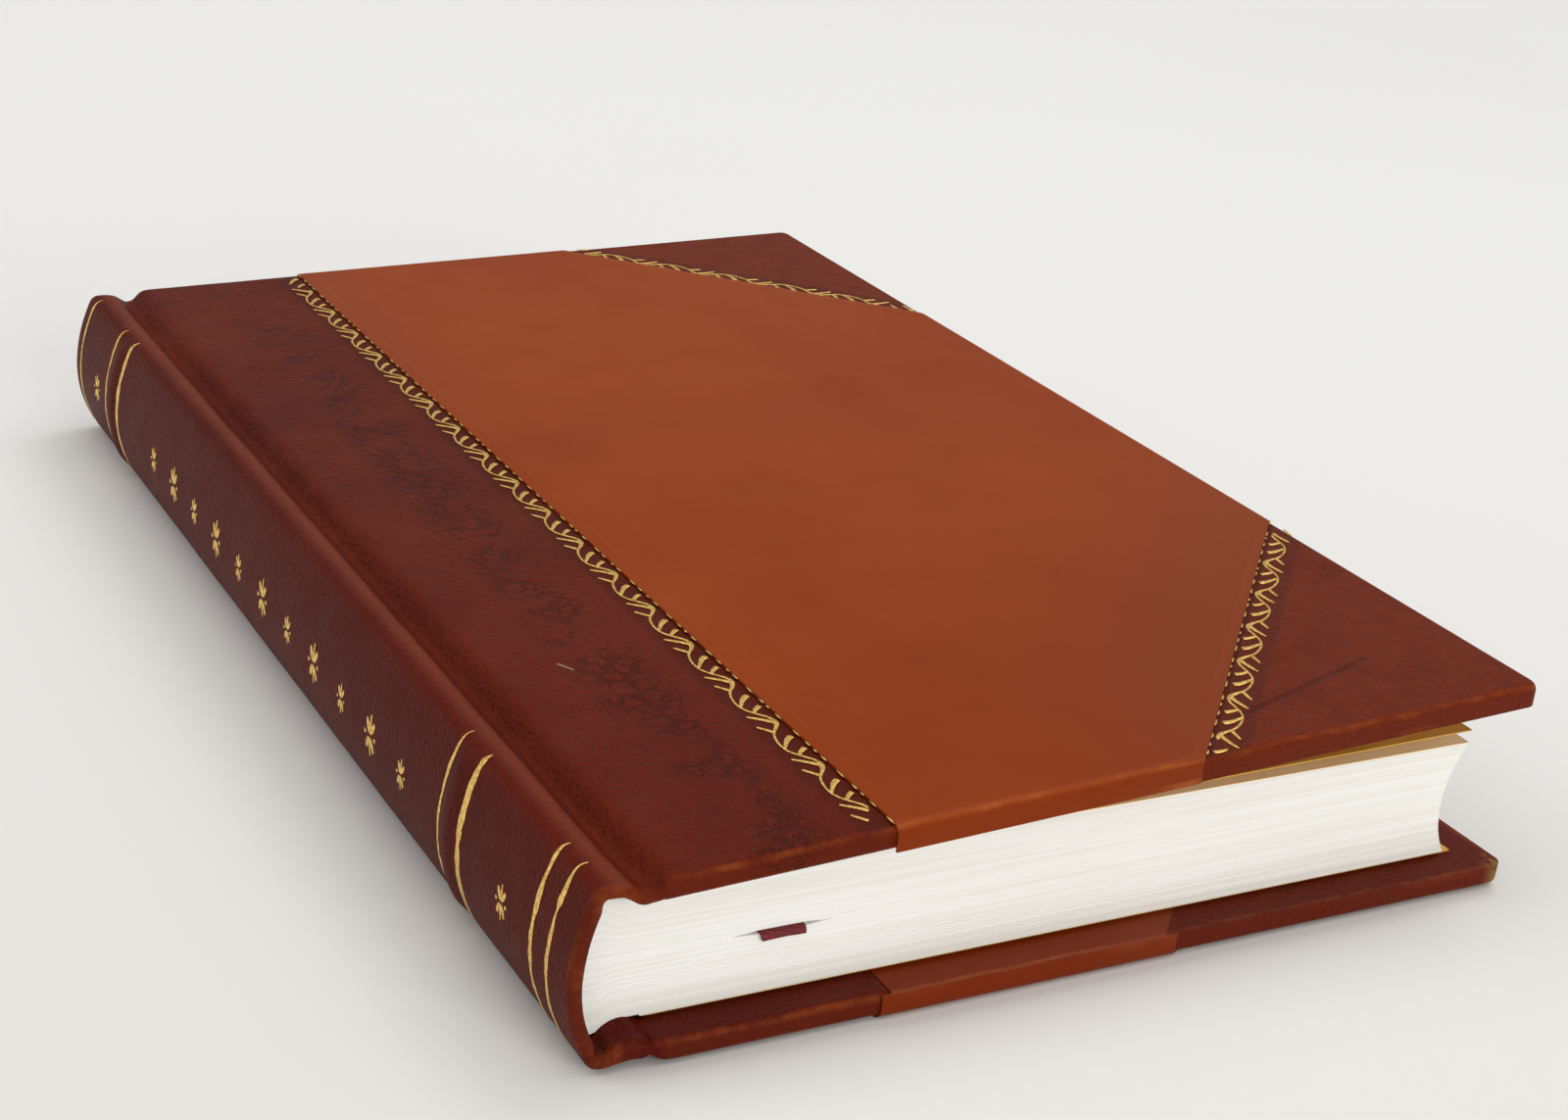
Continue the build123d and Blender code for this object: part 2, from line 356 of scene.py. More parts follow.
for number, (place, width, share, colour) in enumerate(studio["lamps"]):
    lampData = bpy.data.lights.new(f"lamp{number}", "AREA")
    lampData.shape = "DISK"
    lampData.size = width
    distance = float(np.linalg.norm(place))
    lampData.energy = pi * pi * distance**2 * share  # a disc far off lights a facing surface by this share
    lampData.color = colour
    lamp = addObject(f"lamp{number}", lampData)
    back = np.array(place) / distance
    side = np.cross((0, 0, 1), back)
    side /= np.linalg.norm(side)
    up = np.cross(back, side)
    aim = Matrix(np.stack([side, up, back], 1).tolist()).to_4x4()
    lamp.matrix_world = Matrix.Translation(place) @ aim
print("floor and lamps set")


# leather finishes
def coverPlaces(finish, x, y, z):
    # across: distance from a cover's spine edge; height: above its paste-down; both for either cover
    front, back = covers["front"], covers["back"]
    upper = z.smooth(book["middle"] - 0.5, book["middle"] + 0.5)
    frontHeight = (z - front["origin"][1]) * front["out"][1] + (x - front["origin"][0]) * front["out"][0]
    backHeight = back["origin"][1] - z
    height = frontHeight * upper + backHeight * (1 - upper)
    across = x - back["origin"][0] + upper * (back["origin"][0] - front["origin"][0])
    return across, height, upper


def edgeDistance(across, y):
    # distance to the nearest edge between dark leather and a side, positive on the dark leather
    width, length = book["coverWidth"], book["halfLength"]
    nearest = book["strip"] - across
    for legs, end in ((book["tailCorner"], -1), (book["headCorner"], 1)):
        size = np.hypot(*legs)
        inward = (across - width) * (legs[1] / size) + (y * end - length) * (legs[0] / size)
        nearest = nearest.atLeast(inward + legs[0] * legs[1] / size)
    return nearest


leather = {
    "deep": paint(54, 13, 7),
    "body": paint(87, 21, 3),
    "warm": paint(102, 31, 5),
    # rubbed wear with a painted highlight
    "wornAndHighlight": paint(158, 74, 26),
    "edge": paint(98, 27, 0),
    "corner": paint(117, 39, 6),
    # painted shade on the spine
    "spine": paint(77, 9, 0),
    # painted highlight
    "paintedSheen": paint(132, 62, 38),
    # painted shade, low down and in the grooves and joints
    "low": paint(80, 7, 0),
    "scuffed": paint(214, 186, 164),
    "bare": paint(150, 118, 58),
    # painted warm light towards the tail
    "glow": paint(99, 21, 0),
    "grainSize": 0.62,
    "bumpDepth": 0.17,
    "reliefMiddle": 17.0,  # of the blind leaf roll, from a cover's spine edge
    "reliefHalf": 5.5,
    "scuff": ((10.7, 57.9), (12.0, 55.5), 0.22),  # from the spine edge and the tail: ends, half width
    "fold": ((96, 9), (126, 17), 0.7),
}


def darkLeather():
    # tones with painted shade and painted light first, then grain and relief, tooled bands, rubbed arrises
    # with a painted highlight, painted shade in the grooves and joints, and marks, each mixed over the last
    finish = Finish("darkLeather")
    point = finish.millimetres()
    x, y, z = finish.split(point)
    across, height, upper = coverPlaces(finish, x, y, z)
    tone = finish.noise(point, 34, 3, 0.6)
    cloud = finish.noise(point, 6.5, 4, 0.6)
    colour = finish.mix(tone.smooth(0.3, 0.65), leather["body"], leather["warm"])
    colour = finish.mix(across.smooth(70, 90) * 0.7, colour, leather["corner"])
    colour = finish.mix(cloud.smooth(0.48, 0.75) * 0.22, colour, leather["deep"])
    # painted shade: the spine is painted darker and redder than the covers
    colour = finish.mix(across.smooth(-6.5, -9.0) * 0.75, colour, leather["spine"])
    # painted light: the strip and shoulders glow warmer towards the tail
    paintedTailGlow = y.smooth(40, -100) * z.smooth(24, 27) * across.smooth(60, 40)
    colour = finish.mix(paintedTailGlow * 0.6, colour, leather["glow"])
    # painted shade low down: the lower cover and all near the floor darker
    colour = finish.mix(z.smooth(6.0, 4.0) * 0.55, colour, leather["low"])
    # pebbled grain: small cells, pulled out across the cover
    bent = finish.warp(point, 2.4, 0.9)
    pulled = finish.place(bent, (0.62, 1.0, 1.0))
    grain = finish.cells(pulled, leather["grainSize"]).smooth(0.05, 0.75)
    crease = finish.noise(finish.place(bent, (0.5, 1.0, 1.0)), 0.9, 3, 0.65).smooth(0.3, 0.7)
    # blind leaf roll: sprays that lean from a stem, broken up into wrinkles
    away = abs(across - leather["reliefMiddle"])
    spray = ((y * 1.25 - away * 1.5) + finish.noise(point, 2.2, 4, 0.75, 0.8) * 11.0).sine()
    veins = finish.cells(finish.warp(point, 2.6, 3.4), 3.0, "DISTANCE_TO_EDGE").smooth(0.11, 0.03)
    zone = away.smooth(leather["reliefHalf"] + 3.0, leather["reliefHalf"] - 2.5)
    zone = zone * finish.noise(point, 8.0, 2).smooth(0.4, 0.52) * y.smooth(98, 84) * z.smooth(20, 22)
    relief = (spray.smooth(0.62, 1.0) * 0.5 + veins * 0.9).atMost(1.0) * zone
    colour = finish.mix(relief * 0.5, colour, leather["deep"])
    furrow = (grain.smooth(0.6, 0.05) * 0.36).atLeast(crease.smooth(0.45, 0.1) * 0.22)
    colour = finish.mix(furrow, colour, leather["deep"])
    # the tooled band beside a side is darker, right at the side darkest
    toSide = edgeDistance(across, y)
    rolled = toSide.band(2.6, 2.2, 1.2) * 0.35
    pressed = toSide.smooth(1.1, 0.3) * 0.6
    colour = finish.mix(rolled.atLeast(pressed) * height.smooth(3.0, 3.6), colour, leather["deep"])
    # edges of the boards are redder, their arrises and the spine's cap rims rubbed, with a painted highlight
    # along them
    ends = abs(y)
    edgeFace = ends.smooth(116.5, 117.0).atLeast(across.smooth(144.3, 145.0))
    colour = finish.mix(edgeFace * 0.6, colour, leather["edge"])
    rubbing = finish.noise(point, 5.0, 4, 0.7).smooth(0.42, 0.66)
    wander = finish.noise(point, 9.0, 2) * 1.1 - 0.55
    line = (ends + wander).band(116.7, 0.1, 0.42).atLeast((across + wander).band(144.6, 0.1, 0.42))
    arrisWearAndHighlight = line * (height.band(3.5, 0.35, 0.5).atLeast(height.band(0.5, 0.4, 0.5)))
    capRim = ends.smooth(114.6, 116.0) * across.smooth(-1.5, -4.0)
    # painted highlight: a pinkish sheen along the spine's shoulder crest
    crest = z.smooth(26.6, 27.3) * across.smooth(-3.8, -4.6) * across.smooth(-8.0, -6.0)
    # rubbed wear and a painted highlight along the arrises and the cap rims
    wornAndHighlight = (arrisWearAndHighlight * (rubbing * 0.3 + 0.08)).atLeast(capRim * (rubbing * 0.3 + 0.1))
    colour = finish.mix(wornAndHighlight, colour, leather["wornAndHighlight"])
    colour = finish.mix(crest * 0.4, colour, leather["paintedSheen"])
    # a second, thin ridge runs inside each groove, with a line of painted shade on its spine side
    grooveShadeLine = across.band(-3.9, 0.1, 0.35) * ends.smooth(116, 112)
    colour = finish.mix(grooveShadeLine * 0.65, colour, leather["low"])
    # painted shade in the back joint's fold at the tail and head
    backFoldShade = across.band(-2.2, 2.2, 1.5) * z.smooth(7, 5) * ends.smooth(110, 113)
    colour = finish.mix(backFoldShade * 0.7, colour, leather["low"])
    # small marks: a scuff beside the spine, a crease over the tail corner with painted shade along it
    upTail = y + book["halfLength"]
    scuff = finish.stroke(across, upTail, *leather["scuff"]) * upper
    bowed = across + finish.noise(point, 12, 2) * 3
    fold = finish.stroke(bowed, upTail, *leather["fold"]) * upper
    colour = finish.mix(scuff * 0.45, colour, leather["scuffed"])
    colour = finish.mix(fold * 0.45, colour, leather["deep"])
    # the lower tail corner is rubbed through to the raw ochre leather
    bare = across.smooth(140.5, 144.5) * y.smooth(-112.5, -115.5) * (1 - upper) * rubbing.smooth(0.0, 0.5)
    colour = finish.mix(bare * 0.75, colour, leather["bare"])
    lift = grain * 0.6 + crease * 0.6 - relief * 1.5 - fold * 1.2 - grooveShadeLine * 0.8
    rough = 0.44 + cloud * 0.16 - wornAndHighlight * 0.08
    return finish.surface(
        Base_Color=colour,
        Roughness=rough,
        Specular_IOR_Level=0.09,
        Normal=finish.bump(lift, leather["bumpDepth"]),
    )


tan = {
    "body": paint(140, 54, 2),
    "light": paint(149, 62, 10),
    "dark": paint(120, 40, 0),
    # painted reflection
    "paintedReflection": paint(124, 58, 30),
    # painted shade low down
    "low": paint(106, 27, 0),
    # rubbed wear with a painted highlight
    "rubbedAndHighlight": paint(172, 92, 44),
    "lapRidge": 1.7,  # from a side's edge
    "bumpDepth": 0.1,
}


def tanLeather():
    # smooth calf: broad tones, painted shade towards the tail, painted reflections near the tail corner and
    # the strip, a pressed ridge inside its edges
    finish = Finish("tanLeather")
    point = finish.millimetres()
    x, y, z = finish.split(point)
    across, height, _ = coverPlaces(finish, x, y, z)
    tone = finish.noise(point, 55, 4, 0.55)
    cloud = finish.noise(point, 11, 4, 0.6)
    colour = finish.mix(tone.smooth(0.32, 0.66), tan["body"], tan["light"])
    colour = finish.mix(cloud.smooth(0.5, 0.78) * 0.14, colour, tan["dark"])
    # painted shade: darker towards the tail and the fore-edge
    colour = finish.mix(y.smooth(0, -115) * across.smooth(10, 110) * 0.6, colour, tan["dark"])
    # painted shade low down: the lower cover's side near the floor darker
    colour = finish.mix(z.smooth(6.0, 4.0) * 0.7, colour, tan["low"])
    toSide = edgeDistance(across, y)
    ridge = toSide.band(-tan["lapRidge"], 0.15, 0.6) * height.smooth(3.9, 4.1)
    # painted reflection: a muted, browner band near the tail corner
    cornerReflection = toSide.smooth(-34, -4) * across.smooth(62, 88) * y.smooth(10, -40)
    colour = finish.mix(cornerReflection * 0.45, colour, tan["paintedReflection"])
    # painted reflection: a muted band beside the strip towards the head
    nearStrip = toSide.smooth(-16, -3) * across.smooth(60, 50) * y.smooth(10, 80)
    colour = finish.mix(nearStrip * 0.3, colour, tan["paintedReflection"])
    colour = finish.mix(ridge * 0.2, colour, tan["light"])
    ends = abs(y)
    edgeFace = ends.smooth(116.6, 117.3).atLeast(across.smooth(144.2, 145.2))
    colour = finish.mix(edgeFace * 0.55, colour, tan["dark"])
    rub = finish.noise(point, 7.0, 4, 0.7).smooth(0.45, 0.7)
    wander = finish.noise(point, 11.0, 2) * 1.2 - 0.6
    line = (ends + wander).band(117.0, 0.1, 0.5).atLeast((across + wander).band(145.0, 0.1, 0.5))
    # rubbed wear and a painted highlight along the arrises
    arrisWearAndHighlight = line * (height.smooth(3.2, 3.9).atLeast(height.band(0.5, 0.4, 0.5)))
    colour = finish.mix(arrisWearAndHighlight * (rub * 0.4 + 0.25), colour, tan["rubbedAndHighlight"])
    pores = finish.noise(point, 0.35, 2, 0.6)
    waves = finish.noise(finish.place(point, (0.5, 1.0, 1.0)), 14, 3, 0.5)
    lift = waves * 1.6 + pores * 0.12 + ridge * 0.5
    rough = 0.36 + cloud * 0.14
    return finish.surface(
        Base_Color=colour,
        Roughness=rough,
        Specular_IOR_Level=0.09,
        Normal=finish.bump(lift, tan["bumpDepth"]),
    )


# gold
gilt = {"bright": paint(252, 216, 126), "dull": paint(206, 152, 62), "thick": 0.05}


def giltFinish():
    # gold leaf, worn through in specks to the leather
    finish = Finish("giltTooling")
    point = finish.millimetres()
    speck = finish.noise(point, 0.5, 3, 0.7)
    patch = finish.noise(point, 4.0, 3, 0.6)
    colour = finish.mix(speck.smooth(0.35, 0.6), gilt["dull"], gilt["bright"])
    gone = speck.smooth(0.62, 0.68) * patch.smooth(0.5, 0.62)
    colour = finish.mix(gone, colour, leather["deep"])
    return finish.surface(
        Base_Color=colour,
        Metallic=0.85 - gone * 0.85,
        Roughness=0.3 + speck * 0.25,
        Normal=finish.bump(speck, 0.03),
    )


darkFinish = darkLeather()
tanFinish = tanLeather()
giltMaterial = giltFinish()
print("leather finishes made")


# spine jacket: dark leather from the spine's middle, over a joint, onto a cover
jacket = {
    "bulge": 79.15,  # outermost line of the spine, from the middle of the book
    "radius": {"front": 31.0, "back": 22.5},
    "crestHeight": 13.35,  # shoulders, from the middle of the thickness
    "crest": -72.05,
    "foot": (-69.25, 10.55),  # bottom of the joint groove: x, height from the middle
    "softening": 0.95,
    "onto": 0.65,  # where it meets a cover's face, from the spine edge
    "lap": 34.0,
    "spineRun": 14.5,  # the finer grid of the joint starts here, along the skin
    "jointEnd": 2.5,  # and ends here, on the cover
    "boardReach": 5.4,  # the ends change from spine fold to board fold over this
    "foldEase": 2.2,
    "spineEnd": 116.5,
    "coverEnd": 117.12,
    "spineFold": 2.3,  # from the outer skin to the turned-in skin, at the spine
    "jointFold": 1.9,
    "shoulderFade": (12.4, 10.4),  # height from the middle where the spine's own fold begins
    "foldRadius": 1.2,
    "underside": 0.25,  # turned-in skin above a paste-down
    "thickness": (0.9, 0.75),  # on the spine, on a cover
    "foldRows": 19,
    "turnRows": 9,
    "rows": 210,
    "grooveFill": {"front": 0.32, "back": 0.85},  # share by which a groove fills at the tail and head
    "heap": {"front": 0.0, "back": 1.0},  # folds of the turned-in leather fill the back joint
    "turnIn": 14.0,
    "jointTurnIn": 4.4,
    "ridge": (-70.45, 0.4, 0.2),  # second ridge in a groove: x, half width, height
    "bandRise": 0.56,
    "bandHalf": 2.1,
    "bands": (-77.0, 90.5),  # middles, along the book
}


def softened(points, width, step=0.05):
    # a line averaged along itself with a bell curve of that width, its ends kept
    run = lengthAlong(points)
    even = np.arange(0, run[-1], step)
    line = np.stack([np.interp(even, run, points[:, axis]) for axis in range(2)], 1)
    reach = int(4 * width / step)
    bell = np.exp(-0.5 * (np.arange(-reach, reach + 1) * step / width) ** 2)
    before = 2 * line[0] - line[reach:0:-1]
    after = 2 * line[-1] - line[-2 : -reach - 2 : -1]
    longer = np.concatenate([before, line, after])
    return np.stack([np.convolve(longer[:, axis], bell / bell.sum(), "valid") for axis in range(2)], 1)


def jacketLine(cover):
    # x and z of the outer skin from the spine's middle to under the side, softened at its corners
    side = covers[cover]["side"]
    middle = book["middle"]
    radius = jacket["radius"][cover]
    turn = np.linspace(0, np.arcsin(jacket["crestHeight"] / radius), 40)
    arc = np.stack([radius - jacket["bulge"] - radius * np.cos(turn), radius * np.sin(turn)], 1)
    groove = np.array([(jacket["crest"], jacket["crestHeight"]), jacket["foot"]])
    turned = np.concatenate([arc, groove]) * (1, side) + (0, middle)
    face = book["darkHeight"]
    onCover = coverPoint(cover, [jacket["onto"], jacket["lap"]], 0.0, [face, face - 0.01])[:, [0, 2]]
    line = softened(np.concatenate([turned, onCover]), jacket["softening"])
    if side < 0:  # the spine's middle is shared, so the mirror line stays exact there
        line[:, 1] = np.minimum(line[:, 1], middle)
    line[0] = (-jacket["bulge"], middle)
    return line


def sampledLine(line, sizes):
    # points of the line at the given distances along it, with its outward directions there
    run = lengthAlong(line)
    at = np.stack([np.interp(sizes, run, line[:, axis]) for axis in range(2)], 1)
    slope = np.gradient(line, run, axis=0)
    slope = np.stack([np.interp(sizes, run, slope[:, axis]) for axis in range(2)], 1)
    slope /= np.linalg.norm(slope, axis=1, keepdims=True)
    return at, np.stack([-slope[:, 1], slope[:, 0]], 1)


waveTurns = chance.uniform(0, 2 * pi, (6, 2))
waveSizes = np.array([61.0, 37.0, 23.0, 17.0, 11.0, 7.5])


def unevenness(x, y):
    # soft hollows of hand-worked leather, 0 to about -0.12: a sum of sines in six directions
    total = 0.0
    for (turn, phase), size in zip(waveTurns, waveSizes):
        total = total + np.sin(2 * pi * (x * cos(turn) + y * sin(turn)) / size + phase)
    return 0.01 * (total - 6.0)


def bandSwell(y, fromMiddle):
    # raised bands: bandRise * exp(-((y - middle) / half)^4), fading out towards the shoulders
    swell = sum(np.exp(-(((y - middle) / jacket["bandHalf"]) ** 4)) for middle in jacket["bands"])
    return jacket["bandRise"] * swell * blendRange(np.abs(fromMiddle), 12.6, 9.6)


def endFold(depth, rounding, turnIn, end):
    # along the book and down from the outer skin, for rows from one turned-in end to the other:
    # in along the turn-in, round a quarter circle, straight through, round another, and along the skin
    straight = depth - 2 * rounding
    quarter = pi / 2 * rounding
    w = np.linspace(0, 1, jacket["foldRows"])[:, None] * (2 * quarter + straight)
    firstTurn = np.clip(w / rounding, 0, pi / 2)
    lastTurn = np.clip((w - quarter - straight) / rounding, 0, pi / 2)
    foldY = rounding * np.sin(firstTurn) - rounding * (1 - np.cos(lastTurn))
    foldDown = rounding * (1 - np.cos(firstTurn) + np.sin(lastTurn)) + np.clip(w - quarter, 0, straight)
    inY = -np.linspace(0, 1, jacket["turnRows"])[1:, None] * turnIn
    endY = np.concatenate([foldY, inY])
    endDown = np.concatenate([foldDown, np.broadcast_to(depth, inY.shape[:1] + depth.shape)])
    flat = np.linspace(-1, 1, jacket["rows"])[:, None] * (end - rounding)
    y = np.concatenate([-(end - rounding) - endY[::-1], flat[1:-1], end - rounding + endY])
    return y, np.concatenate([endDown[::-1], 0 * flat[1:-1], endDown])


def makeJacket(cover):
    # outer skin = line + outward * lift - fold * down, with the line carried along the book
    line = jacketLine(cover)
    side, middle = covers[cover]["side"], book["middle"]
    coverOut, origin = np.array(covers[cover]["out"]), np.array(covers[cover]["origin"])
    hinge = covers[cover]["origin"][0]
    run = lengthAlong(line)
    jointX = coverPoint(cover, jacket["jointEnd"], 0, book["darkHeight"])[0]
    jointAt = np.argmin(np.abs(line[:, 0] - jointX))
    places = np.concatenate([
        np.linspace(0, jacket["spineRun"], 30),
        np.linspace(jacket["spineRun"], run[jointAt], 52)[1:],
        np.linspace(run[jointAt], run[-1], 30)[1:],
    ])
    at, out = sampledLine(line, places)
    out = out * side
    x, fromMiddle = at[:, 0], at[:, 1] - middle
    height = (at - origin) @ coverOut
    # at the ends: on the cover a fold straight through the board, elsewhere into the spine
    onBoard = blendRange(x, line[jointAt, 0] - jacket["boardReach"], hinge + 0.2)
    eased = np.exp(-0.5 * ((places[:, None] - places) / jacket["foldEase"]) ** 2) * np.gradient(places)
    fold = (eased @ out) / eased.sum(1, keepdims=True)  # outward directions averaged round a bend
    fold = fold * (1 - onBoard[:, None]) + coverOut * onBoard[:, None]
    fold /= np.linalg.norm(fold, axis=1, keepdims=True)
    onSpine = blendRange(np.abs(fromMiddle), *jacket["shoulderFade"])
    depth = jacket["jointFold"] + (jacket["spineFold"] - jacket["jointFold"]) * onSpine
    heap = jacket["heap"][cover] * blendRange(x, -73.0, -70.5) * (1 - onBoard)
    depth = depth * (1 - onBoard) + np.maximum(height - jacket["underside"], 1.0) * onBoard + heap
    rounding = np.minimum(jacket["foldRadius"], depth / 2)
    end = jacket["spineEnd"] + (jacket["coverEnd"] - jacket["spineEnd"]) * onBoard
    wide = np.maximum(onSpine, blendRange(height, 3.2, 3.7) * onBoard)
    turnIn = jacket["jointTurnIn"] + (jacket["turnIn"] - jacket["jointTurnIn"]) * wide
    thick = jacket["thickness"][0] * (1 - onBoard) + jacket["thickness"][1] * onBoard
    thick = np.minimum(thick, rounding - 0.1)
    y, down = endFold(depth, rounding, turnIn, end)

    face = blendRange(down, 0.5, 0.0)
    lift = unevenness(x + 40, y) * face + bandSwell(y, fromMiddle) * face
    ridgeAt, ridgeHalf, ridgeRise = jacket["ridge"]
    ridge = ridgeRise * np.exp(-(((x - ridgeAt) / ridgeHalf) ** 2))
    lift = lift + ridge * face * blendRange(np.abs(y), 115, 110)
    inGroove = blendRange(x, -74, -72) * blendRange(x, hinge - 0.6, hinge - 2.2)
    fall = inGroove * (jacket["crestHeight"] - side * fromMiddle)
    runOut = blendRange(np.abs(y), 105, 115.5) * fall * jacket["grooveFill"][cover]
    filled = runOut[..., None] * np.array([0, side])
    xz = at[None] - fold[None] * down[..., None] + out[None] * lift[..., None] + filled
    outer = np.stack([xz[..., 0], y, xz[..., 1]], -1)
    normals = gridNormals(outer) * side
    inward = thick * (1 - blendRange(down, 0.0, 1.0) * (1 - np.minimum(0.4 / thick, 1)))
    points, faces = closedSheet(outer, outer - normals * inward[..., None])
    piece = makePiece(cover + "Jacket", points, faces, darkFinish, 50)
    z = middle * mm
    (hinge - 4.6) * mm
    (hinge - 0.3) * mm
    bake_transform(piece)
    return piece


frontJacket = makeJacket("front")
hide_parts("spine_leather", "front_spine_strip")
backJacket = makeJacket("back")
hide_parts("back_spine_strip")
print("jackets made")

# gold tooling
spineLines = [jacketLine("front"), jacketLine("back")]


def spinePoint(along, y, lift):
    # along: distance round the spine from its middle, up for positive
    along, y, lift = np.broadcast_arrays(along, y, lift)
    upper, lower = [sampledLine(line, np.abs(along).ravel()) for line in spineLines]
    below = (along.ravel() < 0)[:, None]
    at = np.where(below, lower[0], upper[0]).reshape(*along.shape, 2)
    out = np.where(below, -lower[1], upper[1]).reshape(*along.shape, 2)
    height = lift + unevenness(at[..., 0] + 40, y) + bandSwell(y, at[..., 1] - book["middle"])
    at = at + out * height[..., None]
    return np.stack([at[..., 0], y, at[..., 1]], -1)


def rounded(points, times=3):
    # corner cutting: each pass keeps the ends and puts points at 1/4 and 3/4 of every run
    points = np.asarray(points, float)
    for _ in range(times):
        first = points[..., :-1, :] * 0.75 + points[..., 1:, :] * 0.25
        second = points[..., :-1, :] * 0.25 + points[..., 1:, :] * 0.75
        middle = np.stack([first, second], -2).reshape(*points.shape[:-2], -1, 2)
        points = np.concatenate([points[..., :1, :], middle, points[..., -1:, :]], -2)
    return points


def goldStrokes(paths, halfWidths, surface, lift=0.02):
    # paths (..., n, 2) on a surface, made into closed strips: five points round, pinched at the ends
    paths = np.asarray(paths, float)
    paths = paths.reshape(-1, *paths.shape[-2:])
    run = np.linspace(0, 1, paths.shape[1])
    half = np.interp(run, np.linspace(0, 1, len(halfWidths)), halfWidths)
    half = half * np.minimum(1, np.minimum(run, 1 - run) * 9 + 0.12)
    slope = np.gradient(paths, axis=1)
    slope /= np.linalg.norm(slope, axis=2, keepdims=True) + 1e-9
    over = np.stack([-slope[..., 1], slope[..., 0]], -1)
    share = np.array([-1.0, -0.55, 0.55, 1.0, 0.0])
    rise = np.array([-0.01, 1.0, 1.0, -0.01, -1.0]) * gilt["thick"]
    flat = paths[:, :, None] + over[:, :, None] * (share[:, None] * half[:, None, None])
    top = lift + rise * np.minimum(1, half / 0.1)[:, None]
    points = surface(flat[..., 0], flat[..., 1], np.broadcast_to(top, flat.shape[:3]))
    count, rows = points.shape[:2]
    k, r, c = np.meshgrid(np.arange(count), np.arange(rows - 1), np.arange(5), indexing="ij")
    base = (k * rows + r) * 5
    quads = np.stack([base + c, base + (c + 1) % 5, base + 5 + (c + 1) % 5, base + 5 + c], -1).reshape(-1, 4)
    starts = np.arange(count)[:, None] * rows * 5 + np.arange(5)
    caps = [starts[:, ::-1], starts + (rows - 1) * 5]
    return points.reshape(-1, 3), quads.tolist() + np.concatenate(caps).tolist()


def goldPiece(name, parts, body):
    # several sets of strokes in one mesh
    points, faces, start = [], [], 0
    for partPoints, partFaces in parts:
        faces += [[corner + start for corner in face] for face in partFaces]
        start += len(partPoints)
        points.append(partPoints)
    mesh = bpy.data.meshes.new(name)
    mesh.from_pydata((np.concatenate(points) * mm).tolist(), [], faces)
    turnOutwards(mesh)
    mesh.materials.append(giltMaterial)
    piece = addObject(name, mesh)
    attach(piece, body)
    return piece


# vine roll: distance from the side's edge, distance along the edge; one repeat
vine = {
    "repeat": 12.8,
    "strokes": {
        "stem": ([(1.0, 1.4), (1.0, 0.2), (1.5, -1.0), (2.9, -2.6), (3.5, -4.4), (3.7, -6.2), (3.4, -8.0),
                  (2.2, -9.8), (1.2, -11.0), (1.0, -12.0)], (0.28, 0.4, 0.2, 0.17, 0.17, 0.2, 0.26)),
        "longLeaf": ([(1.2, 0.1), (1.9, 1.0), (2.8, 1.8), (4.1, 2.9)], (0.36, 0.34, 0.28, 0.12)),
        "shortLeaf": ([(2.6, -2.2), (3.2, -1.3), (4.1, -0.1)], (0.3, 0.27, 0.12)),
        "longTongue": ([(3.5, -6.9), (2.6, -5.6), (1.9, -4.7), (1.0, -4.1)], (0.2, 0.3, 0.46, 0.5)),
        "shortTongue": ([(2.6, -9.2), (1.9, -8.3), (0.9, -7.6)], (0.2, 0.34, 0.46)),
    },
    "dashes": [(1.9, 0.1), (-2.2, -4.4), (-5.9, -7.5), (-8.6, -9.6)],
}


def vineParts(cover, start, run, phase):
    # from start by run along a side's edge, with the dark leather on its left; phase: where repeats begin
    length = np.hypot(*run)
    direction = np.array(run) / length
    away = np.array([-direction[1], direction[0]])
    starts = np.arange(phase, length + vine["repeat"], vine["repeat"])

    def surface(across, along, lift):
        return coverPoint(cover, across, along, book["darkHeight"] + lift)

    parts = []
    for path, widths in vine["strokes"].values():
        path = rounded(path)
        off, along = path[:, 0], path[:, 1] + starts[:, None]
        off = np.broadcast_to(off, along.shape) + chance.normal(0, 0.05, (len(starts), 1))
        along = along + chance.normal(0, 0.06, (len(starts), 1))
        inside = (along.min(1) > 0.5) & (along.max(1) < length - 0.5)
        placed = np.array(start) + away * off[..., None] + direction * along[..., None]
        parts.append(goldStrokes(placed[inside], widths, surface))
    for low, high in vine["dashes"]:
        along = np.linspace(low, high, 4) + starts[:, None] + chance.normal(0, 0.3, (len(starts), 1))
        inside = (along.min(1) > 0.5) & (along.max(1) < length - 0.5)
        placed = np.array(start) + away * 0.14 + direction * along[..., None]
        parts.append(goldStrokes(placed[inside], (0.1, 0.16, 0.1), surface, 0.26))
    return parts


for cover in covers:
    width, length = book["coverWidth"], book["halfLength"]
    tail, head = book["tailCorner"], book["headCorner"]
    edges = {
        "StripVine": ((book["strip"], -length), (0, 2 * length), 5.4),
        "TailVine": ((width, tail[1] - length), (-tail[0], -tail[1]), 6.0),
        "HeadVine": ((width - head[0], length), (head[0], -head[1]), 6.0),
    }
    for edge, placing in edges.items():
        goldPiece(cover + edge, vineParts(cover, *placing), cover + "_cover")

spineGold = {
    "lines": [  # distance from the tail edge, half width, how far it reaches on each side
        (7.75, 0.42, 15.0), (12.75, 0.45, 14.9), (36.9, 0.74, 14.6), (43.9, 0.32, 14.9),
        (204.4, 0.74, 14.7), (211.9, 0.32, 14.8), (230.0, 0.38, 14.8),
    ],
    "flowers": [  # distance from the tail edge, size
        (22.3, 1.0), (218.0, 1.0), *[(58 + 12.2 * step, 1.25 if step % 2 else 0.9) for step in range(11)],
    ],
}


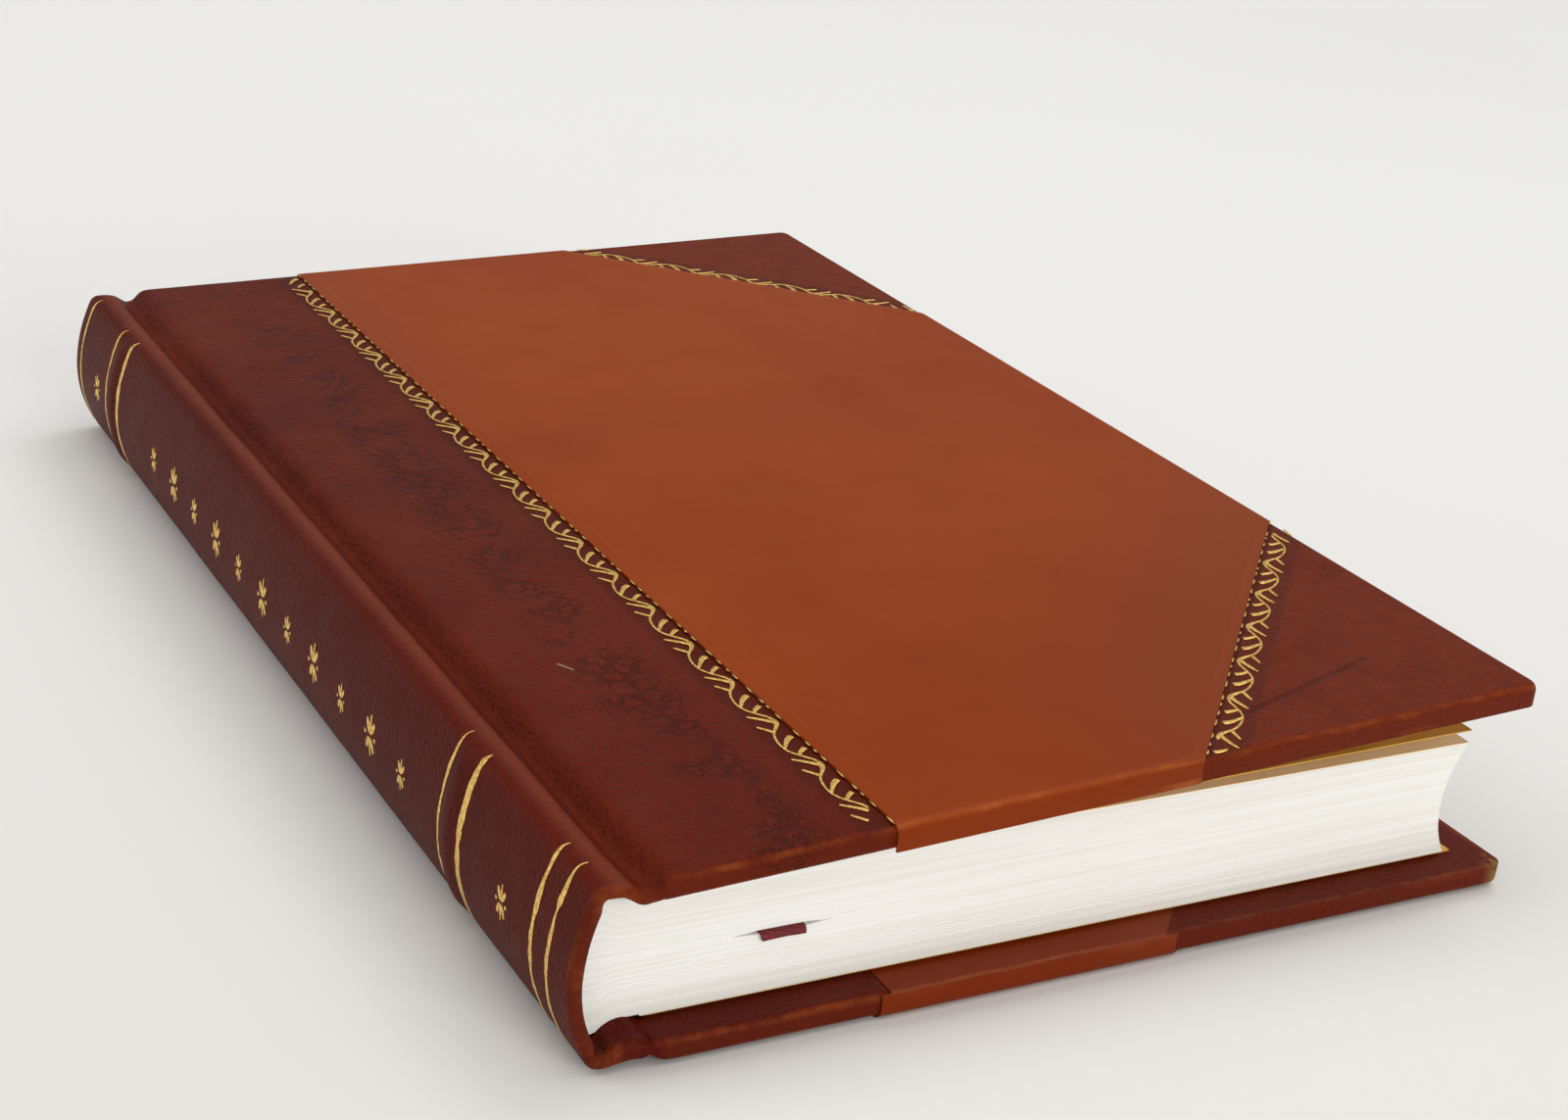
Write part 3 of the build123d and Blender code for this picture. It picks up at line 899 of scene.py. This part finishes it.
def flowerParts(y, size):
    # a small four-petal flower with a stem and two dots; first number round the spine, second along it
    quarters = [(a, b) for a in (-1, 1) for b in (-1, 1)]
    petals = [[(0.3 * a, 0.25 * b), (1.0 * a, 0.7 * b), (1.9 * a, 1.15 * b)] for a, b in quarters]
    stems = [[(0.2 * a, 0), (1.4 * a, 0), (2.7 * a, 0)] for a in (-1, 1)]
    dots = [[(-0.25, 1.45 * b), (0, 1.5 * b), (0.25, 1.45 * b)] for b in (-1, 1)]
    kinds = [(petals, (0.1, 0.42, 0.2)), (stems, (0.16, 0.26, 0.08)), (dots, (0.22, 0.3, 0.22))]
    parts = []
    for strokes, widths in kinds:
        path = rounded(strokes) * size + (0, y)
        parts.append(goldStrokes(path, tuple(w * size for w in widths), spinePoint))
    return parts


parts = []
for fromTail, halfWidth, reach in spineGold["lines"]:
    along = np.linspace(-reach, reach, 90)
    wander = 0.05 * np.sin(along * 0.9 + fromTail) + 0.03 * np.sin(along * 2.3)
    path = np.stack([along, fromTail - book["halfLength"] + wander], 1)
    parts.append(goldStrokes(path[None], halfWidth * (1 + 0.2 * chance.normal(0, 1, 24)), spinePoint))
for fromTail, size in spineGold["flowers"]:
    parts += flowerParts(fromTail - book["halfLength"], size)
goldPiece("spineTooling", parts, "root")
print("gold tooling made")

# pages
pages = {
    "rows": 168,
    "columns": 64,
    "lengthwise": 40,
    "uneven": 0.02,  # of single leaves, at the cut edges
    "spineX": -76.9,  # backs of the middle leaves
    "spineRound": (4.7, 2.5),  # how far the outer leaves sit back, and how late they turn
    "gathering": 8,  # leaves folded together
    "flat": (4.65, 23.25),  # bottom and top of the leaves, away from the shoulders
    "hump": 1.92,  # swelling of the leaves at the shoulders
    "foreHollow": 2.8,
    "ribbonTail": book["spineEdge"] + 20.6,
    "ribbonHead": book["spineEdge"] + 4.0,
    "ribbonHalf": 3.3,
    "ribbonHeight": 13.7,
    "parting": 4.0,
    "partRise": 0.3,
    "slit": 3.0,  # depth of the slit that the ribbon leaves through
}


def pageFinish():
    # fine and broader lines along the leaves, painted shade greying them low down, and light stains
    finish = Finish("pageEdges")
    point = finish.millimetres()
    z = finish.split(point)[2]
    leaves = finish.place(finish.node("UVMap", {"uv_map": "leaves"}), (1 / mm,) * 3)
    fine = finish.noise(finish.place(leaves, (0.02, 9.0, 1.0)), 1.0, 2, 0.6)
    medium = finish.noise(finish.place(leaves, (0.012, 2.0, 1.0)), 1.0, 3, 0.6)
    stain = finish.noise(point, 14, 3, 0.6)
    colour = finish.mix(medium.smooth(0.3, 0.6), paint(241, 239, 230), paint(250, 249, 244))
    colour = finish.mix(fine.smooth(0.58, 0.76) * 0.22, colour, paint(210, 205, 190))
    # painted shade: the page edges greyer low down
    colour = finish.mix(z.smooth(9, 5) * 0.25, colour, paint(226, 220, 206))
    colour = finish.mix(stain.smooth(0.66, 0.8) * 0.3, colour, paint(224, 212, 180))
    lines = fine * 0.7 + medium * 0.5
    return finish.surface(
        Base_Color=colour, Roughness=0.72, Specular_IOR_Level=0.25, Normal=finish.bump(lines, 0.06)
    )


pagesThick = pages["flat"][1] - pages["flat"][0]
ribbonLeaf = (pages["ribbonHeight"] - pages["flat"][0]) / pagesThick


def pagePoint(across, along, leaf, leafOffsets, atRibbon):
    # across, along and leaf run 0-1: spine to fore-edge, tail to head, bottom to top
    # x = spine arc + (fore-edge - spine arc) * across, z = lowest + (highest - lowest) * leaf
    across, along, leaf, atRibbon = np.broadcast_arrays(across, along, leaf, atRibbon)
    fromMiddle = 2 * leaf - 1
    depth, power = pages["spineRound"]
    spineX = pages["spineX"] + depth * (1 - (1 - np.abs(fromMiddle) ** power) ** (1 / power))
    foreX = pagesHigh[0] - pages["foreHollow"] * (1 - fromMiddle**2) + leafOffsets[2]
    x = spineX + (foreX - spineX) * across
    hump = pages["hump"] * blendRange(x, -70.4, -72.6)
    low, high = pages["flat"][0] - hump * 0.95, pages["flat"][1] + hump
    z = low + (high - low) * leaf
    # the leaves part round the ribbon
    ribbon = pages["ribbonTail"] + (pages["ribbonHead"] - pages["ribbonTail"]) * along
    gap = blendRange(np.abs(x - ribbon), pages["ribbonHalf"] + pages["parting"], pages["ribbonHalf"])
    above = np.sign(leaf - ribbonLeaf)
    z = z + above * pages["partRise"] * gap * np.exp(-np.abs(leaf - ribbonLeaf) / 0.08)
    slit = pages["slit"] * gap * atRibbon
    tail = pagesLow[1] + leafOffsets[0] + slit
    head = pagesHigh[1] + leafOffsets[1] - slit
    return np.stack([x, tail + (head - tail) * along, z], -1)


def makePages():
    # walls: pagePoint round the block's edge for each leaf; then a bottom and a top grid
    leaf = np.linspace(0, 1, pages["rows"])
    below = np.sort(np.append(leaf[leaf < ribbonLeaf - 0.002], [ribbonLeaf - 1e-4] * 2))
    over = np.sort(np.append(leaf[leaf > ribbonLeaf + 0.002], [ribbonLeaf + 1e-4] * 2))
    leaf = np.concatenate([below, over])
    atRibbon = np.zeros(len(leaf))
    atRibbon[len(below) - 1 : len(below) + 1] = 1
    count = len(leaf)
    offsets = chance.normal(0, pages["uneven"], (3, count))
    step = np.arange(count) // pages["gathering"]
    offsets += chance.normal(0, 0.03, (3, step.max() + 1))[:, step]
    offsets[:, np.arange(count) % pages["gathering"] == 0] += np.array([[0.05], [-0.05], [-0.04]])
    slow = np.linspace(0, 1, count)
    offsets[0] = np.clip(offsets[0] + 0.12 * np.sin(slow * 5.1 + 1), 0, None)
    offsets[1] = np.clip(offsets[1] - 0.12 * np.sin(slow * 4.3), None, 0)
    offsets[2] = np.clip(offsets[2], None, 0)
    across = blendColumns(pages["columns"])
    along = np.linspace(0, 1, pages["lengthwise"])
    ringAcross = np.concatenate([across, np.ones(len(along) - 1), across[-2::-1], np.zeros(len(along) - 2)])
    ringAlong = np.concatenate([0 * across, along[1:], np.ones(len(across) - 1), along[-2:0:-1]])
    wall = pagePoint(ringAcross[None], ringAlong[None], leaf[:, None], offsets[:, :, None], atRibbon[:, None])
    ring = wall.shape[1]
    closed = np.concatenate([wall, wall[:, :1]], 1)
    faces = [gridFaces(count, ring + 1)]
    points = [closed.reshape(-1, 3)]
    length = lengthAlong(closed[0])
    unrolled = np.broadcast_arrays(length[None] * mm, leaf[:, None] * pagesThick * mm)
    uv = [np.stack(unrolled, -1).reshape(-1, 2)]
    start = closed.shape[0] * closed.shape[1]
    for row in (0, count - 1):
        cap = pagePoint(across[None], along[:, None], leaf[row], offsets[:, row], 0)
        points.append(cap.reshape(-1, 3))
        faces.append(gridFaces(*cap.shape[:2], start))
        uv.append(cap.reshape(-1, 3)[:, :2] * mm)
        start += cap.shape[0] * cap.shape[1]
    points, faces, uv = [np.concatenate(part) for part in (points, faces, uv)]
    piece = makePiece("pageBlock", points, faces, pageFinish(), 35, uv, 0.002)
    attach(piece, "root")
    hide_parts("text_block")
    return piece


def blendColumns(count):
    # 0-1 with steps that grow away from the spine: 0.35 t^2 + 0.65 t^1.15
    t = np.linspace(0, 1, count)
    return 0.35 * t**2 + 0.65 * t**1.15


makePages()
print("pages made")

# ribbon: between the leaves, its cut end just out of the tail and drooping
ribbon = {"width": 6.5, "thick": 0.5, "out": 0.55, "droop": 0.85, "steps": 90, "short": 0.4}


def makeRibbon(finish):
    # a strip carried along a path: straight between the leaves, then a quarter turn down
    lowEnd, highEnd = pagesLow[1], pagesHigh[1] - ribbon["short"]
    inside = np.linspace(highEnd, lowEnd - 0.1, ribbon["steps"])
    turn = np.linspace(0, 1, 10)[1:]
    y = np.concatenate([inside, lowEnd - 0.1 - ribbon["out"] * np.sin(turn * pi / 2)])
    fall = -ribbon["droop"] * (1 - np.cos(turn * pi / 2)) ** 1.2
    z = np.concatenate([0 * inside, fall]) + pages["ribbonHeight"]
    share = (y - pagesLow[1]) / (pagesHigh[1] - pagesLow[1])
    middle = pages["ribbonTail"] + (pages["ribbonHead"] - pages["ribbonTail"]) * share
    over = np.linspace(-0.5, 0.5, 13)
    x = middle[:, None] + over * ribbon["width"]
    y = np.broadcast_to(y[:, None], x.shape)
    z = z[:, None] + 0.05 * np.cos(over * 2 * pi) * (y < lowEnd)
    middleSheet = np.stack([x, y, z], -1)
    normals = gridNormals(middleSheet) * (ribbon["thick"] / 2)
    points, faces = closedSheet(middleSheet + normals, middleSheet - normals)
    piece = makePiece("ribbonMarker", points, faces, finish, 50)
    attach(piece, "root")
    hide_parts("ribbon_marker")
    return piece


# card inlay inside the hollow spine
inlay = {"half": 11.0, "length": 115.0, "below": 1.0, "thick": 0.9, "steps": 25}


def makeInlay(finish):
    # card that follows the jackets' line at a fixed depth under it, straight along the book
    around = []
    for cover in ("back", "front"):
        line = jacketLine(cover)
        at, out = sampledLine(line, np.linspace(0, inlay["half"], inlay["steps"]))
        around.append(np.concatenate([at, out * covers[cover]["side"]], 1))
    around = np.concatenate([around[0][:0:-1], around[1]])
    around[inlay["steps"] - 1, 2:] = (-1.0, 0.0)
    along = np.array([-1.0, 0.0, 1.0]) * inlay["length"]
    skins = []
    for depth in (inlay["below"], inlay["below"] + inlay["thick"]):
        xz = around[:, :2] - around[:, 2:] * depth
        skins.append(np.stack(np.broadcast_arrays(xz[:, 0], along[:, None], xz[:, 1]), -1))
    points, faces = closedSheet(*skins)
    piece = makePiece("spineCard", points, faces, finish, 40)
    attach(piece, "root")
    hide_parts("spine_inlay", "raised_band_tail", "raised_band_head")
    return piece


# finishes of the parts that keep their shape
def paperFinish(name, shade, tint, thread):
    # endpaper: laid fibres and a little foxing
    finish = Finish(name)
    point = finish.millimetres()
    fibre = finish.noise(finish.place(point, (0.3, 1.0, 1.0)), 0.7, 3, 0.6)
    cloud = finish.noise(point, 22, 4, 0.6)
    colour = finish.mix(cloud.smooth(0.35, 0.65), shade, tint)
    colour = finish.mix(fibre.smooth(0.55, 0.75) * 0.3, colour, thread)
    fox = finish.noise(point, 5, 2).smooth(0.68, 0.76)
    colour = finish.mix(fox * 0.25, colour, thread)
    return finish.surface(
        Base_Color=colour, Roughness=0.68, Specular_IOR_Level=0.3, Normal=finish.bump(fibre, 0.03)
    )


def boardFinish():
    # grey millboard: coarse flecks in pressed layers; endpaper is pasted over its edge at the joint
    finish = Finish("greyboard")
    point = finish.millimetres()
    across = coverPlaces(finish, *finish.split(point))[0]
    fleck = finish.noise(point, 0.9, 4, 0.7)
    layers = finish.noise(finish.place(point, (0.1, 0.1, 3.0)), 1.0, 2)
    colour = finish.mix(fleck.smooth(0.35, 0.7), paint(120, 112, 100), paint(158, 150, 136))
    colour = finish.mix(layers.smooth(0.5, 0.7) * 0.4, colour, paint(96, 88, 78))
    colour = finish.mix(across.smooth(4.2, 3.6), colour, paint(206, 152, 56))
    lift = fleck * 0.6 + layers * 0.4
    return finish.surface(Base_Color=colour, Roughness=0.85, Normal=finish.bump(lift, 0.08))


def wovenFinish(name, light, dark, pitch, depth, tilt=0.0):
    # plain weave: threads over and under, from two sines and their product
    finish = Finish(name)
    point = finish.place(finish.millimetres(), turn=(0, 0, tilt))
    x, y, _ = finish.split(point)
    turns = 2 * pi / pitch
    warpLine = abs((x * (turns / 2)).sine())
    weftLine = abs((y * (turns / 2)).sine())
    over = ((x * (turns / 4)).sine() * (y * (turns / 4)).sine()).smooth(-0.3, 0.3)
    thread = warpLine * over + weftLine * (1 - over)
    wear = finish.noise(point, 6, 3)
    colour = finish.mix(thread.smooth(0.2, 0.9), dark, light)
    colour = finish.mix(wear.smooth(0.5, 0.75) * 0.3, colour, dark)
    return finish.surface(
        Base_Color=colour, Roughness=0.5, Specular_IOR_Level=0.4, Normal=finish.bump(thread, depth)
    )


ochre = paperFinish("endpaperOchre", paint(212, 158, 58), paint(220, 169, 72), paint(190, 134, 46))
peach = paperFinish("endpaperPeach", paint(252, 228, 182), paint(254, 236, 198), paint(236, 200, 146))
cream = paperFinish("leafCream", paint(232, 226, 208), paint(240, 236, 224), paint(206, 196, 170))
cardPaper = paperFinish("spineCard", paint(148, 122, 92), paint(168, 142, 110), paint(110, 88, 62))
board = boardFinish()
mull = wovenFinish("mullCloth", paint(214, 204, 182), paint(150, 138, 112), 0.9, 0.1)
ribbonSilk = wovenFinish("ribbonSilk", paint(128, 12, 16), paint(70, 4, 8), 0.35, 0.05, radians(8.4))
makeRibbon(ribbonSilk)
makeInlay(cardPaper)
nodeFinishes = {"spine_lining": mull}
for name in ("front_flyleaf", "front_pastedown", "back_pastedown"):
    nodeFinishes[name] = ochre
nodeFinishes["back_flyleaf"] = cream
nodeFinishes["front_second_leaf"] = peach
for cover in covers:
    nodeFinishes[cover + "_board"] = board
    nodeFinishes[cover + "_side"] = tanFinish
    nodeFinishes[cover + "_corner_tail"] = darkFinish
    nodeFinishes[cover + "_corner_head"] = darkFinish
for name, finish in nodeFinishes.items():
    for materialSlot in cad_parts[name].material_slots:
        materialSlot.material = finish
print("parts finished")
